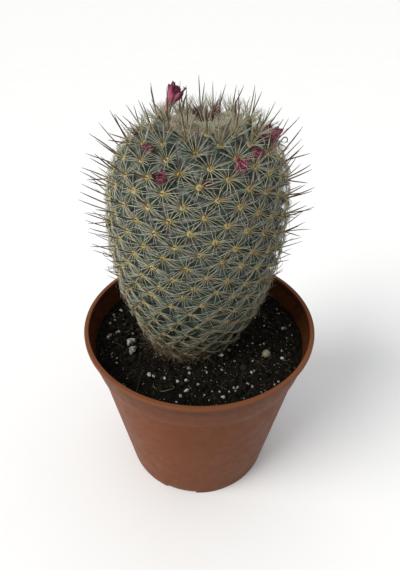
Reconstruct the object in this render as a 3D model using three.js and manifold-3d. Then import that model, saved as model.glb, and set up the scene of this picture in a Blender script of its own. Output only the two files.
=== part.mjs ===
// Club-shaped cactus in a round nursery pot. Millimetres, +Z up, origin at the centre of the pot's foot,
// front towards -Y. The stem carries its tubercles on one golden-angle spiral.
import * as THREE from 'three';
import Module from 'manifold-3d';
import { ConvexHull } from 'three/addons/math/ConvexHull.js';
import { mergeVertices } from 'three/addons/utils/BufferGeometryUtils.js';

const wasm = await Module();
wasm.setup();

// ---- Driving dimensions: pot ----
const POT_HEIGHT = 88.2;
const POT_RIM_RADIUS = 52.5;
const POT_BASE_RADIUS = 37.8;
const POT_WALL = 1.2;
const LIP_WIDTH = 2.0;
const LIP_HEIGHT = 2.2;
const LIP_OVERHANG = 0.6;
const BAND_HEIGHT = 15.9;
const BAND_TAPER = 3.0;
const BAND_STEP = 0.8;
const FOOT_HEIGHT = 3.6;
const FOOT_WIDTH = 2.0;
const FLOOR_THICKNESS = 1.4;
const EDGE_ROUND = 0.5;
const NOTCH_COUNT = 4;
const NOTCH_WIDTH = 15;
const NOTCH_HEIGHT = 1.4;
const NOTCH_START_DEG = -102;
const DRAIN_COUNT = 8;
const DRAIN_RADIUS = 3.5;
const DRAIN_RING_RADIUS = 24;
const DRAIN_CENTRE_RADIUS = 5;
const POT_SEGMENTS = 64;

// ---- Driving dimensions: soil ----
const SOIL_BELOW_RIM = 10.6;
const SOIL_SWELL = 0.5;
const SOIL_SEGMENTS = 40;
const GAP = 0.3;
const GAP_ON_SOIL = 0.45;

// ---- Driving dimensions: stem ----
const STEM_HEIGHT = 97.7;
const STEM_RADIUS = 35;
const NECK_RADIUS = 21.2;
const CROWN_DIP = 1.7;
const STEM_X = -3.3;
const STEM_Y = 4.7;
const STEM_LEAN = 0.025;
const CROWN_SHIFT = 2.3;
const CROWN_SHIFT_START = 60;
const CROWN_SHIFT_POWER = 5;
const TUBERCLE_HEIGHT = 5;
const TUBERCLE_AREA = 53.75;
const SPIRAL_DEG = 137.4926;
const SPIRAL_START_DEG = 68.25;
const SPIRAL_START_AREA = 145.9;
const CROWN_GROWTH = 15;
const CROWN_FIRST = -16;
const LOWEST_TUBERCLE = 3;
const ROOT_DEPTH = 30;
const ROOT_TIP_RADIUS = 6;
const ROOT_SEGMENTS = 24;
const FLOWER_LIFT = 0.6;
const BUD_LIFT = 1.7;
const SPINE_LENGTH = 12;
const SPINE_RADIUS = 0.4;
const SPINE_LAST = 44;
const SPINE_STEP = 2;
const SPINE_ROOM = 1.2;

// ---- Derived places ----
const bandBottomZ = POT_HEIGHT - BAND_HEIGHT;
const bandTopRadius = POT_RIM_RADIUS - LIP_OVERHANG;
const bandBottomRadius = bandTopRadius - BAND_TAPER;
const wallTopRadius = bandBottomRadius - BAND_STEP;
const floorTopZ = FOOT_HEIGHT + FLOOR_THICKNESS;
const soilZ = POT_HEIGHT - SOIL_BELOW_RIM;

// ---- Shared helpers ----
function mix(a, b, share) {
  return a + (b - a) * share;
}

// A three.js geometry as a manifold solid: shared vertices merged, slivers dropped, faces pointing out.
function solid(geometry) {
  const bare = geometry.clone();
  bare.deleteAttribute('normal');
  bare.deleteAttribute('uv');
  const merged = mergeVertices(bare, 1e-4);
  const position = merged.attributes.position;
  const corner = [0, 1, 2].map(() => new THREE.Vector3());
  const triangles = [];
  let sixVolumes = 0;
  for (let i = 0; i < merged.index.count; i += 3) {
    const ids = [0, 1, 2].map((j) => merged.index.getX(i + j));
    if (ids[0] === ids[1] || ids[1] === ids[2] || ids[2] === ids[0]) {
      continue;
    }
    ids.forEach((id, j) => corner[j].fromBufferAttribute(position, id));
    sixVolumes += corner[0].dot(corner[1].clone().cross(corner[2]));
    triangles.push(ids);
  }
  const turned = sixVolumes < 0 ? triangles.map(([a, b, c]) => [a, c, b]) : triangles;
  const mesh = new wasm.Mesh({
    numProp: 3,
    vertProperties: Float32Array.from(position.array),
    triVerts: Uint32Array.from(turned.flat()),
  });
  return new wasm.Manifold(mesh);
}

function geometryOf(manifold) {
  const mesh = manifold.getMesh();
  const geometry = new THREE.BufferGeometry();
  geometry.setAttribute('position', new THREE.BufferAttribute(mesh.vertProperties, 3));
  geometry.setIndex(new THREE.BufferAttribute(mesh.triVerts, 1));
  geometry.computeVertexNormals();
  return geometry;
}

// A profile of [radius, z] pairs turned about Z.
function turned(profile, segments) {
  const points = profile.map(([r, z]) => new THREE.Vector2(r, z));
  return new THREE.LatheGeometry(points, segments).rotateX(Math.PI / 2);
}

function placed(geometry, position, direction) {
  const up = new THREE.Vector3(0, 0, 1);
  const turn = new THREE.Quaternion().setFromUnitVectors(up, direction.clone().normalize());
  return geometry.applyQuaternion(turn).translate(position.x, position.y, position.z);
}

// ---- Pot ----
function wallRadius(z) {
  if (z > bandBottomZ) {
    return mix(bandBottomRadius, bandTopRadius, (z - bandBottomZ) / (BAND_HEIGHT - LIP_HEIGHT));
  }
  return mix(POT_BASE_RADIUS, wallTopRadius, z / bandBottomZ);
}

function innerRadius(z) {
  return wallRadius(z) - POT_WALL;
}

function potGeometry() {
  const lipZ = POT_HEIGHT - LIP_HEIGHT;
  const lipInner = POT_RIM_RADIUS - LIP_WIDTH;
  const profile = [
    [0, FOOT_HEIGHT],
    [POT_BASE_RADIUS - FOOT_WIDTH, FOOT_HEIGHT],
    [POT_BASE_RADIUS - FOOT_WIDTH, 0],
    [POT_BASE_RADIUS - EDGE_ROUND, 0],
    [POT_BASE_RADIUS, EDGE_ROUND],
    [wallTopRadius, bandBottomZ],
    [bandBottomRadius, bandBottomZ + EDGE_ROUND],
    [bandTopRadius, lipZ],
    [POT_RIM_RADIUS, lipZ + EDGE_ROUND],
    [POT_RIM_RADIUS, POT_HEIGHT - EDGE_ROUND],
    [POT_RIM_RADIUS - EDGE_ROUND, POT_HEIGHT],
    [lipInner + EDGE_ROUND, POT_HEIGHT],
    [lipInner, POT_HEIGHT - EDGE_ROUND],
    [innerRadius(lipZ), lipZ - EDGE_ROUND],
    [innerRadius(bandBottomZ + EDGE_ROUND), bandBottomZ + EDGE_ROUND],
    [innerRadius(bandBottomZ - EDGE_ROUND), bandBottomZ - EDGE_ROUND],
    [innerRadius(floorTopZ + EDGE_ROUND), floorTopZ + EDGE_ROUND],
    [innerRadius(floorTopZ) - EDGE_ROUND, floorTopZ],
    [0, floorTopZ],
  ];
  let pot = solid(turned(profile, POT_SEGMENTS));
  for (let i = 0; i < DRAIN_COUNT; i += 1) {
    const angle = (2 * Math.PI * (i + 0.5)) / DRAIN_COUNT;
    const x = DRAIN_RING_RADIUS * Math.cos(angle);
    const y = DRAIN_RING_RADIUS * Math.sin(angle);
    pot = pot.subtract(drain(DRAIN_RADIUS, x, y));
  }
  pot = pot.subtract(drain(DRAIN_CENTRE_RADIUS, 0, 0));
  for (let i = 0; i < NOTCH_COUNT; i += 1) {
    const notch = new THREE.BoxGeometry(FOOT_WIDTH * 4, NOTCH_WIDTH, NOTCH_HEIGHT * 2);
    notch.translate(POT_BASE_RADIUS - FOOT_WIDTH / 2, 0, 0);
    notch.rotateZ(THREE.MathUtils.degToRad(NOTCH_START_DEG + (360 * i) / NOTCH_COUNT));
    pot = pot.subtract(solid(notch));
  }
  return geometryOf(pot);
}

function drain(radius, x, y) {
  const cutter = new THREE.CylinderGeometry(radius, radius, FLOOR_THICKNESS * 3, 14).rotateX(Math.PI / 2);
  return solid(cutter.translate(x, y, FOOT_HEIGHT + FLOOR_THICKNESS / 2));
}

// ---- Stem outline ----
// The surface through the areoles, from the crown's centre down to the soil, as [radius, height].
function stemOutline() {
  const crown = [
    [0, STEM_HEIGHT - CROWN_DIP],
    [0.17 * STEM_RADIUS, STEM_HEIGHT - 0.3 * CROWN_DIP],
    [0.34 * STEM_RADIUS, STEM_HEIGHT],
    [0.515 * STEM_RADIUS, 0.983 * STEM_HEIGHT],
    [0.72 * STEM_RADIUS, 0.935 * STEM_HEIGHT],
    [0.87 * STEM_RADIUS, 0.87 * STEM_HEIGHT],
    [0.963 * STEM_RADIUS, 0.768 * STEM_HEIGHT],
  ];
  const barrel = [[1, 0.624], [0.95, 0.48], [0.74, 0.292], [0.29, 0.107], [0, 0]];
  const lower = barrel.map(([share, level]) => [mix(NECK_RADIUS, STEM_RADIUS, share), level * STEM_HEIGHT]);
  const points = [...crown, ...lower].map(([r, h]) => new THREE.Vector2(r, h));
  return new THREE.SplineCurve(points).getPoints(330);
}

const outline = stemOutline();
const areaAbove = [0];
for (let i = 1; i < outline.length; i += 1) {
  const a = outline[i - 1];
  const b = outline[i];
  areaAbove.push(areaAbove[i - 1] + Math.PI * (a.x + b.x) * a.distanceTo(b));
}
const stemArea = areaAbove[areaAbove.length - 1];

function axisPoint(height) {
  const rise = Math.max(0, height - CROWN_SHIFT_START) / (STEM_HEIGHT - CROWN_SHIFT_START);
  const x = STEM_X + STEM_LEAN * height + CROWN_SHIFT * rise ** CROWN_SHIFT_POWER;
  return new THREE.Vector3(x, STEM_Y, soilZ + height);
}

// Place and outward normal at the point of the outline with this much of the stem's surface above it.
function stemPoint(area, angle) {
  let i = 1;
  while (i < outline.length - 1 && areaAbove[i] < area) {
    i += 1;
  }
  const share = (area - areaAbove[i - 1]) / (areaAbove[i] - areaAbove[i - 1]);
  const at = outline[i - 1].clone().lerp(outline[i], share);
  const along = outline[i].clone().sub(outline[i - 1]).normalize();
  const outward = new THREE.Vector3(Math.cos(angle), Math.sin(angle), 0);
  const position = axisPoint(at.y).addScaledVector(outward, at.x);
  const normal = outward.clone().multiplyScalar(-along.y).add(new THREE.Vector3(0, 0, along.x));
  return { position, normal: normal.normalize(), height: at.y };
}

// Tubercle number k counts down from the crown: full sized after the crown zone, smaller ones inside it.
function tubercle(k) {
  const crownEnd = CROWN_GROWTH - SPIRAL_START_AREA / TUBERCLE_AREA;
  const size = Math.min(1, Math.exp((k - crownEnd) / CROWN_GROWTH));
  const full = SPIRAL_START_AREA + TUBERCLE_AREA * k;
  const area = k < crownEnd ? TUBERCLE_AREA * CROWN_GROWTH * size : full;
  const angle = THREE.MathUtils.degToRad(SPIRAL_START_DEG - SPIRAL_DEG * k);
  return { area, angle, size: Math.sqrt(size), ...stemPoint(Math.min(area, stemArea), angle) };
}

function listTubercles() {
  const list = [];
  for (let k = CROWN_FIRST; ; k += 1) {
    const next = tubercle(k);
    if (next.area >= stemArea || next.height < LOWEST_TUBERCLE) {
      return list;
    }
    list.push(next);
  }
}

const tubercles = listTubercles();

// ---- Saddles and axils ----
const stemFoot = { position: axisPoint(LOWEST_TUBERCLE / 2), normal: new THREE.Vector3(0, 0, -1), size: 0 };
const tips = [...tubercles, stemFoot];

// The middle between neighbouring tips, sunk below them by this share of the tubercles' height.
function sunk(ids, depth) {
  const position = new THREE.Vector3();
  const normal = new THREE.Vector3();
  let size = 0;
  ids.forEach((id) => {
    position.addScaledVector(tips[id].position, 1 / ids.length);
    normal.add(tips[id].normal);
    size += tips[id].size / ids.length;
  });
  position.addScaledVector(normal.normalize(), -depth * TUBERCLE_HEIGHT * size);
  return { position, normal };
}

// Every three neighbouring tips, from the hull of the same spiral laid on a unit sphere.
function listNeighbours() {
  const onSphere = tubercles.map(({ area, angle }) => {
    const z = 1 - (2 * area) / stemArea;
    const ring = Math.sqrt(1 - z * z);
    return new THREE.Vector3(ring * Math.cos(angle), ring * Math.sin(angle), z);
  });
  onSphere.push(new THREE.Vector3(0, 0, -1));
  const numberOf = new Map(onSphere.map((point, i) => [point, i]));
  return new ConvexHull().setFromPoints(onSphere).faces.map((face) => {
    const { edge } = face;
    return [edge, edge.next, edge.prev].map((side) => numberOf.get(side.head().point));
  });
}

const neighbours = listNeighbours();
const axils = neighbours.map((ids) => sunk(ids, 1));

// ---- Flowers and their places on the stem ----
// Flowers grow out of the axils. share is how far down the outline's area the flower sits and angle its
// direction around the stem. It takes the axil nearest to there.
const FLOWERS = [
  {
    name: 'flower_left', color: 0x8a3a5a, share: 0.0704, angleDeg: 156.4, lean: [0.58, 0, 1],
    length: 16.4, tube: 1.3, mouth: 2.9,
  },
  {
    name: 'flower_right', color: 0x9a4a62, share: 0.1476, angleDeg: -8.1, lean: [0, 0, 1],
    length: 10.2, tube: 1.1, mouth: 4.0,
  },
];
const BUDS = [
  { share: 0.142, angleDeg: -108, radius: 2.0, color: 0x6a1f34 },
  { share: 0.137, angleDeg: -67, radius: 1.9, color: 0xa8365a },
  { share: 0.1056, angleDeg: -42.4, radius: 1.6, color: 0x9b5a6a },
  { share: 0.163, angleDeg: -84, radius: 1.4, color: 0x6e2a33 },
  { share: 0.112, angleDeg: -134, radius: 1.6, color: 0x8c4a58 },
  { share: 0.12, angleDeg: 168, radius: 1.5, color: 0x6b4030 },
  { share: 0.4195, angleDeg: -165.5, radius: 1.5, color: 0x2c2320 },
];

function axilOf(flower) {
  const wanted = stemPoint(flower.share * stemArea, THREE.MathUtils.degToRad(flower.angleDeg)).position;
  const away = (axil) => axil.position.distanceTo(wanted);
  return axils.reduce((best, axil) => (away(axil) < away(best) ? axil : best));
}

// A trumpet with a hollow mouth, its foot at z = 0.
function flowerGeometry(flower) {
  const wall = 0.7;
  const mouthDepth = 0.4 * flower.length;
  const profile = [
    [0, 0],
    [0.4 * flower.tube, 0.1 * flower.tube],
    [flower.tube, 0.3 * flower.length],
    [1.1 * flower.tube, 0.5 * flower.length],
    [0.7 * flower.mouth, 0.78 * flower.length],
    [flower.mouth, flower.length],
    [flower.mouth - wall, flower.length],
    [0.7 * flower.mouth - wall, 0.8 * flower.length],
    [0, flower.length - mouthDepth],
  ];
  const line = flowerLine(flower);
  return placed(turned(profile, 10), line.start, line.end.clone().sub(line.start));
}

// From the axil's floor to the middle of a bud that rests between the tubercles' flanks.
function budLine(bud) {
  const axil = axilOf(bud);
  const centre = axil.position.clone().addScaledVector(axil.normal, BUD_LIFT * (GAP + bud.radius));
  return new THREE.Line3(axil.position, centre);
}

function budGeometry(bud) {
  const line = budLine(bud);
  const shape = new THREE.SphereGeometry(bud.radius, 8, 6).rotateX(Math.PI / 2).scale(1, 1, 0.8);
  return placed(shape, line.end, line.end.clone().sub(line.start));
}

// ---- Stem ----
// Each tubercle is a pyramid: its tip on the outline, the saddles towards its neighbours part way down and
// the axils between three neighbours at full depth.
function tubercledBody() {
  const saddle = (a, b) => sunk([Math.min(a, b), Math.max(a, b)], 0.7).position;
  const corners = neighbours.flatMap((ids, i) => ids.flatMap((id, j) => {
    const next = ids[(j + 1) % ids.length];
    const axil = axils[i].position;
    return [tips[id].position, saddle(id, next), axil, saddle(id, next), tips[next].position, axil];
  }));
  return solid(new THREE.BufferGeometry().setFromPoints(corners).setIndex(corners.map((_, i) => i)));
}

// The short root crown below the soil, made larger all round by extra when it cuts its socket.
function rootProfile(extra) {
  const core = NECK_RADIUS - 0.8 * TUBERCLE_HEIGHT;
  const top = 2 * TUBERCLE_HEIGHT;
  return [
    [0, -ROOT_DEPTH - extra],
    [ROOT_TIP_RADIUS + extra, -ROOT_DEPTH - extra],
    [0.75 * core + extra, -0.5 * ROOT_DEPTH - extra],
    [core + extra, -0.17 * ROOT_DEPTH - extra],
    [core + extra, top],
    [0, top],
  ];
}

function atStem(geometry) {
  return geometry.translate(STEM_X, STEM_Y, soilZ);
}

function stemGeometry() {
  const root = solid(atStem(turned(rootProfile(0), ROOT_SEGMENTS)));
  return geometryOf(tubercledBody().add(root));
}

// Central spines stand on the areoles of the crown, upright and spread a little outwards, but not where they
// would touch a flower.
function spineLine(place) {
  const direction = place.normal.clone().add(new THREE.Vector3(0, 0, 1)).normalize();
  const foot = place.position.clone().addScaledVector(direction, GAP + SPINE_RADIUS);
  return new THREE.Line3(foot, foot.clone().addScaledVector(direction, SPINE_LENGTH));
}

function flowerLine(flower) {
  const axil = axilOf(flower);
  const direction = new THREE.Vector3(...flower.lean).normalize();
  const foot = axil.position.clone().addScaledVector(axil.normal, FLOWER_LIFT * TUBERCLE_HEIGHT);
  return new THREE.Line3(foot, foot.clone().addScaledVector(direction, flower.length));
}

function nearestApproach(lineA, lineB) {
  const shares = [0, 0.125, 0.25, 0.375, 0.5, 0.625, 0.75, 0.875, 1];
  const a = new THREE.Vector3();
  const b = new THREE.Vector3();
  const distances = shares.flatMap((i) => shares.map((j) => lineA.at(i, a).distanceTo(lineB.at(j, b))));
  return Math.min(...distances);
}

function spinePlaces() {
  const chosen = tubercles.filter((_, i) => i < SPINE_LAST && i % SPINE_STEP === 0);
  const flowers = FLOWERS.map((flower) => ({ line: flowerLine(flower), room: flower.mouth + SPINE_ROOM }));
  const buds = BUDS.map((bud) => ({ line: budLine(bud), room: bud.radius + SPINE_ROOM }));
  return chosen.filter((place) => {
    const line = spineLine(place);
    return [...flowers, ...buds].every((item) => nearestApproach(line, item.line) > item.room);
  });
}

function spineGeometry(place) {
  const line = spineLine(place);
  const cone = new THREE.ConeGeometry(SPINE_RADIUS, SPINE_LENGTH, 6).rotateX(Math.PI / 2);
  return placed(cone.translate(0, 0, SPINE_LENGTH / 2), line.start, line.end.clone().sub(line.start));
}

// ---- Soil and what lies on it ----
function soilHeight(x, y) {
  return soilZ + SOIL_SWELL * (Math.sin(x / 7 + 1.3) * Math.cos(y / 9 - 0.4) - 0.5);
}

function soilGeometry() {
  const topRadius = innerRadius(soilZ) - GAP;
  const profile = [
    [0, floorTopZ + GAP],
    [innerRadius(floorTopZ) - EDGE_ROUND - GAP, floorTopZ + GAP],
    [innerRadius(floorTopZ + EDGE_ROUND) - GAP, floorTopZ + EDGE_ROUND + GAP],
    [innerRadius(bandBottomZ - EDGE_ROUND) - GAP, bandBottomZ - EDGE_ROUND + GAP / 2],
    [innerRadius(bandBottomZ + EDGE_ROUND) - GAP, bandBottomZ + EDGE_ROUND + GAP / 2],
    ...[1, 0.82, 0.64, 0.46, 0.28].map((share) => [topRadius * share, soilZ]),
    [0, soilZ],
  ];
  const lump = turned(profile, SOIL_SEGMENTS);
  const position = lump.attributes.position;
  for (let i = 0; i < position.count; i += 1) {
    if (position.getZ(i) > soilZ - 0.01) {
      position.setZ(i, soilHeight(position.getX(i), position.getY(i)));
    }
  }
  return geometryOf(solid(lump).subtract(solid(atStem(turned(rootProfile(2 * GAP), ROOT_SEGMENTS)))));
}

// What lies on the soil, placed by hand: [share of the soil's radius, direction in degrees, own radius].
const GRAINS = [
  [0.886, -174, 1.0],
  [0.793, -179, 0.9],
  [0.862, -151, 0.9],
  [0.711, -128, 1.1],
  [0.668, -117, 1.0],
  [0.728, -98, 1.1],
  [0.812, -75, 1.0],
  [0.693, -48, 1.1],
  [0.836, -23, 1.1],
  [0.837, 5, 1.0],
  [0.884, 159, 1.0],
  [0.831, 42, 1.1],
  [0.884, 118, 1.0],
  [0.86, 79, 1.1],
];
const LUMPS = [
  [0.672, -167, 2.3],
  [0.685, -158, 1.9],
];
const PRILL = [0.691, -25, 1.9];
const FIBRE = [0.776, -112, 0.35];
const FIBRE_ROUTE = [[-5, 2, 0], [-2, -1, 0.3], [1.5, -1.5, 1.6], [4, 0.5, 0.8], [2.5, 3, 0]];

function soilPoint([share, degrees]) {
  const radius = share * (innerRadius(soilZ) - GAP);
  const angle = THREE.MathUtils.degToRad(degrees);
  return [radius * Math.cos(angle), radius * Math.sin(angle)];
}

function restingOnSoil(shape, x, y, halfHeight) {
  return shape.translate(x, y, soilHeight(x, y) + halfHeight + GAP_ON_SOIL);
}

function grainGeometry(grain) {
  const flatness = 0.8;
  const [x, y] = soilPoint(grain);
  const shape = new THREE.IcosahedronGeometry(grain[2], 0).rotateZ(x).rotateX(y).scale(1, 1, flatness);
  return restingOnSoil(shape, x, y, flatness * grain[2]);
}

function prillGeometry(prill) {
  return restingOnSoil(new THREE.SphereGeometry(prill[2], 12, 8), ...soilPoint(prill), prill[2]);
}

function fibreGeometry(fibre) {
  const [x, y] = soilPoint(fibre);
  const radius = fibre[2];
  const level = (px, py) => soilHeight(px, py) + radius + GAP_ON_SOIL;
  const points = FIBRE_ROUTE.map(([dx, dy, lift]) => {
    return new THREE.Vector3(x + dx, y + dy, level(x + dx, y + dy) + lift);
  });
  const section = new THREE.Shape().absarc(0, 0, radius, 0, 2 * Math.PI);
  const path = new THREE.CatmullRomCurve3(points);
  return new THREE.ExtrudeGeometry(section, { steps: 16, curveSegments: 2, extrudePath: path });
}

// ---- Assembly ----
const plant = new THREE.Group();

function addPart(name, geometry, color, roughness) {
  const mesh = new THREE.Mesh(geometry, new THREE.MeshStandardMaterial({ color, roughness, metalness: 0 }));
  mesh.name = name;
  plant.add(mesh);
}

addPart('pot', potGeometry(), 0x8a5540, 0.5);
addPart('potting_soil', soilGeometry(), 0x1c1a16, 0.95);
addPart('cactus_stem', stemGeometry(), 0x5a6650, 0.8);
FLOWERS.forEach((flower) => addPart(flower.name, flowerGeometry(flower), flower.color, 0.8));
spinePlaces().forEach((place, i) => {
  addPart(`central_spine_${i + 1}`, spineGeometry(place), 0x4a2f22, 0.5);
});
BUDS.forEach((bud, i) => addPart(`withered_flower_${i + 1}`, budGeometry(bud), bud.color, 0.85));
addPart('fertiliser_prill', prillGeometry(PRILL), 0xa89b78, 0.5);
LUMPS.forEach((lump, i) => addPart(`perlite_lump_${i + 1}`, grainGeometry(lump), 0xb9b49c, 0.9));
GRAINS.forEach((grain, i) => addPart(`perlite_grain_${i + 1}`, grainGeometry(grain), 0xd8d8d4, 0.9));
addPart('root_fibre', fibreGeometry(FIBRE), 0x6b5238, 0.9);

export default plant;
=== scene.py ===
import math

import bpy
import numpy as np
from mathutils import Matrix, Vector, noise


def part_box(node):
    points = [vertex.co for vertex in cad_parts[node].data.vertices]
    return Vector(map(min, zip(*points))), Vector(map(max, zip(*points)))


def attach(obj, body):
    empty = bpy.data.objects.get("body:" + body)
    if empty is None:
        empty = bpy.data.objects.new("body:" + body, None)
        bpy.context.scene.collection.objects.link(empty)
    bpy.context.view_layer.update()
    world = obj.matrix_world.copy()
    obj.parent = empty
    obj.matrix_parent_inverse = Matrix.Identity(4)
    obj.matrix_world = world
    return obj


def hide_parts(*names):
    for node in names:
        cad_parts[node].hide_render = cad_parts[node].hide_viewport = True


# The looks of a club-shaped cactus in a nursery pot. Shapes are worked out in millimetres, stored in metres.
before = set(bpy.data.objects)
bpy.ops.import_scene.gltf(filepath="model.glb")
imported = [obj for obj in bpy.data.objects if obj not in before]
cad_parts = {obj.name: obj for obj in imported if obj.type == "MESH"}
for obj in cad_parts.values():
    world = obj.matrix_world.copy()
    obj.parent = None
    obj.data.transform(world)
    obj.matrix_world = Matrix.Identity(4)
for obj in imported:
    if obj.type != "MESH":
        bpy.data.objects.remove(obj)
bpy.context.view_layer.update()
MM = 0.001
RNG = np.random.default_rng(11)

POT_HIGH = np.array(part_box("pot")[1]) / MM
POT_HEIGHT = POT_HIGH[2]
RIM_RADIUS = POT_HIGH[0]
SOIL_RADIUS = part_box("potting_soil")[1][0] / MM
SOIL_BELOW_RIM = 10.6
SOIL_Z = POT_HEIGHT - SOIL_BELOW_RIM
SOIL_SWELL = 0.5

# The stem's outline and spiral, the same as the CAD stem's. The spiral starts higher up the crown here.
STEM_HEIGHT = 97.7
STEM_RADIUS = 35.0
NECK_RADIUS = 21.2
CROWN_DIP = 1.7
STEM_X = -3.3
STEM_Y = 4.7
STEM_LEAN = 0.025
CROWN_SHIFT = 2.3
CROWN_SHIFT_START = 60.0
CROWN_SHIFT_POWER = 5
TUBERCLE_DEPTH = 4.0
TUBERCLE_POWER = 1.6
TUBERCLE_FLAT = 0.8
TUBERCLE_AREA = 53.75
SPIRAL_DEG = 137.4926
SPIRAL_START_DEG = 68.25
SPIRAL_START_AREA = 145.9
CROWN_GROWTH = 15.0
CROWN_FIRST = -26
SPIRAL_END = 420
SPIRAL_STRAY = 0.010
HEIGHT_STRAY = 0.3


# ---- Vectors and meshes ----
def unit(v):
    """The same vectors with length 1."""
    return v / np.maximum(np.linalg.norm(v, axis=-1, keepdims=True), 1e-9)


def mix(a, b, share):
    return a + (b - a) * share


def around(angle):
    """Level unit vectors in these directions."""
    return np.stack([np.cos(angle), np.sin(angle), np.zeros_like(angle)], -1)


def turns(count):
    """Angles spread evenly round a circle."""
    return 2 * np.pi * np.arange(count) / count


def smoothstep(low, high, x):
    """0 up to low, 1 from high, and a smooth rise between them."""
    t = np.clip((x - low) / (high - low), 0, 1)
    return t * t * (3 - 2 * t)


def mesh_piece(name, verts, face_sets, material, smooth=True, attributes=None):
    """A mesh object from vertices in millimetres and arrays of faces, with named values on its points."""
    verts = np.asarray(verts, np.float32) * MM
    loops = np.concatenate([np.asarray(f).ravel() for f in face_sets]).astype(np.int32)
    sizes = np.concatenate([np.full(len(f), np.shape(f)[1]) for f in face_sets])
    starts = np.r_[0, np.cumsum(sizes)[:-1]].astype(np.int32)
    mesh = bpy.data.meshes.new(name)
    mesh.vertices.add(len(verts))
    mesh.vertices.foreach_set("co", verts.ravel())
    mesh.loops.add(len(loops))
    mesh.loops.foreach_set("vertex_index", loops)
    mesh.polygons.add(len(sizes))
    mesh.polygons.foreach_set("loop_start", starts)
    mesh.polygons.foreach_set("use_smooth", np.full(len(sizes), smooth))
    mesh.update(calc_edges=True)
    mesh.validate()
    for key, values in (attributes or {}).items():
        layer = mesh.attributes.new(key, "FLOAT", "POINT")
        layer.data.foreach_set("value", np.asarray(values, np.float32))
    piece = bpy.data.objects.new(name, mesh)
    bpy.context.scene.collection.objects.link(piece)
    mesh.materials.append(material)
    return piece


def settle(piece, slot, *nodes):
    """The piece rides on the plant and stands for these CAD nodes. The slot is not used."""
    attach(piece, "root")
    if nodes:
        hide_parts(*nodes)
    return piece


def ring_faces(rows, columns, closed=True):
    """Quads of a grid, which can close on itself sideways."""
    i, j = np.meshgrid(np.arange(rows - 1), np.arange(columns if closed else columns - 1), indexing="ij")
    k = (j + 1) % columns
    quads = [i * columns + j, i * columns + k, (i + 1) * columns + k, (i + 1) * columns + j]
    return np.stack(quads, -1).reshape(-1, 4)


def tubes(paths, radii, sides=3):
    """Closed tapering tubes, one for each row of paths (count, stations, 3), as vertices and faces."""
    count, stations, _ = paths.shape
    tangents = unit(np.gradient(paths, axis=1))
    chord = unit(paths[:, -1] - paths[:, 0])
    helper = np.where(np.abs(chord[:, 2:3]) < 0.9, [[0.0, 0.0, 1.0]], [[1.0, 0.0, 0.0]])
    across = unit(np.cross(chord, helper))[:, None, :]
    first = unit(across - tangents * (across * tangents).sum(-1, keepdims=True))
    second = np.cross(tangents, first)
    angles = turns(sides)
    spokes = first[:, :, None] * np.cos(angles)[:, None] + second[:, :, None] * np.sin(angles)[:, None]
    verts = paths[:, :, None] + spokes * radii[:, :, None, None]
    quads = ring_faces(stations, sides)
    start = (np.arange(count) * stations * sides)[:, None, None]
    foot = np.arange(sides)[::-1]
    tip = (stations - 1) * sides + np.arange(sides)
    caps = np.stack([foot, tip])
    faces = [(quads[None] + start).reshape(-1, 4), (caps[None] + start).reshape(-1, sides)]
    return verts.reshape(-1, 3), faces


def tube_piece(name, paths, radii, sides, material, slot, *nodes, **values):
    """Tapering tubes as one piece. Each tube's values, and 0 to 1 along it, go on its points."""
    verts, faces = tubes(paths, radii, sides)
    count, stations, _ = paths.shape
    shades = {key: np.repeat(value, stations * sides) for key, value in values.items()}
    shades["along"] = np.tile(np.repeat(np.linspace(0, 1, stations), sides), count)
    return settle(mesh_piece(name, verts, faces, material, attributes=shades), slot, *nodes)


def paths_along(foot, steps, length):
    """Paths that start at these feet and take one equal stride along each step."""
    stride = (length / len(steps))[:, None]
    points = [foot]
    for step in steps:
        points.append(points[-1] + unit(step) * stride)
    return np.stack(points, 1)


def random_turns(count):
    """Rotation matrices in every direction alike."""
    q = unit(RNG.normal(size=(count, 4)))
    w, x, y, z = q.T
    rows = [
        [1 - 2 * (y * y + z * z), 2 * (x * y - z * w), 2 * (x * z + y * w)],
        [2 * (x * y + z * w), 1 - 2 * (x * x + z * z), 2 * (y * z - x * w)],
        [2 * (x * z - y * w), 2 * (y * z + x * w), 1 - 2 * (x * x + y * y)],
    ]
    return np.moveaxis(np.array(rows), 2, 0)


def ball(subdivisions):
    """Vertices and faces of a unit icosphere."""
    bpy.ops.mesh.primitive_ico_sphere_add(subdivisions=subdivisions, radius=1)
    made = bpy.context.object
    verts = np.array([v.co[:] for v in made.data.vertices])
    faces = np.array([p.vertices[:] for p in made.data.polygons])
    bpy.data.objects.remove(made)
    return verts, faces


def lumps(centres, sizes, subdivisions, roughness, flatness=0.75):
    """Irregular crumbs at these centres, as vertices and faces."""
    verts, faces = ball(subdivisions)
    count = len(centres)
    bumps = 1 + roughness * RNG.normal(size=(count, len(verts), 1)).clip(-1.6, 1.6)
    stretch = RNG.uniform(0.7, 1.25, size=(count, 1, 3))
    shaped = np.einsum("nij,nvj->nvi", random_turns(count), verts[None] * bumps * stretch)
    shaped[..., 2] *= flatness
    placed = shaped * sizes[:, None, None] + centres[:, None]
    start = (np.arange(count) * len(verts))[:, None, None]
    return placed.reshape(-1, 3), [(faces[None] + start).reshape(-1, 3)]


def wobble(points, scale, octaves=4):
    """Smooth noise of about one unit at these points, with features of about this size in millimetres."""
    return np.array([noise.fractal(Vector(p / scale), 0.9, 2.0, octaves) for p in points])


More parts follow.
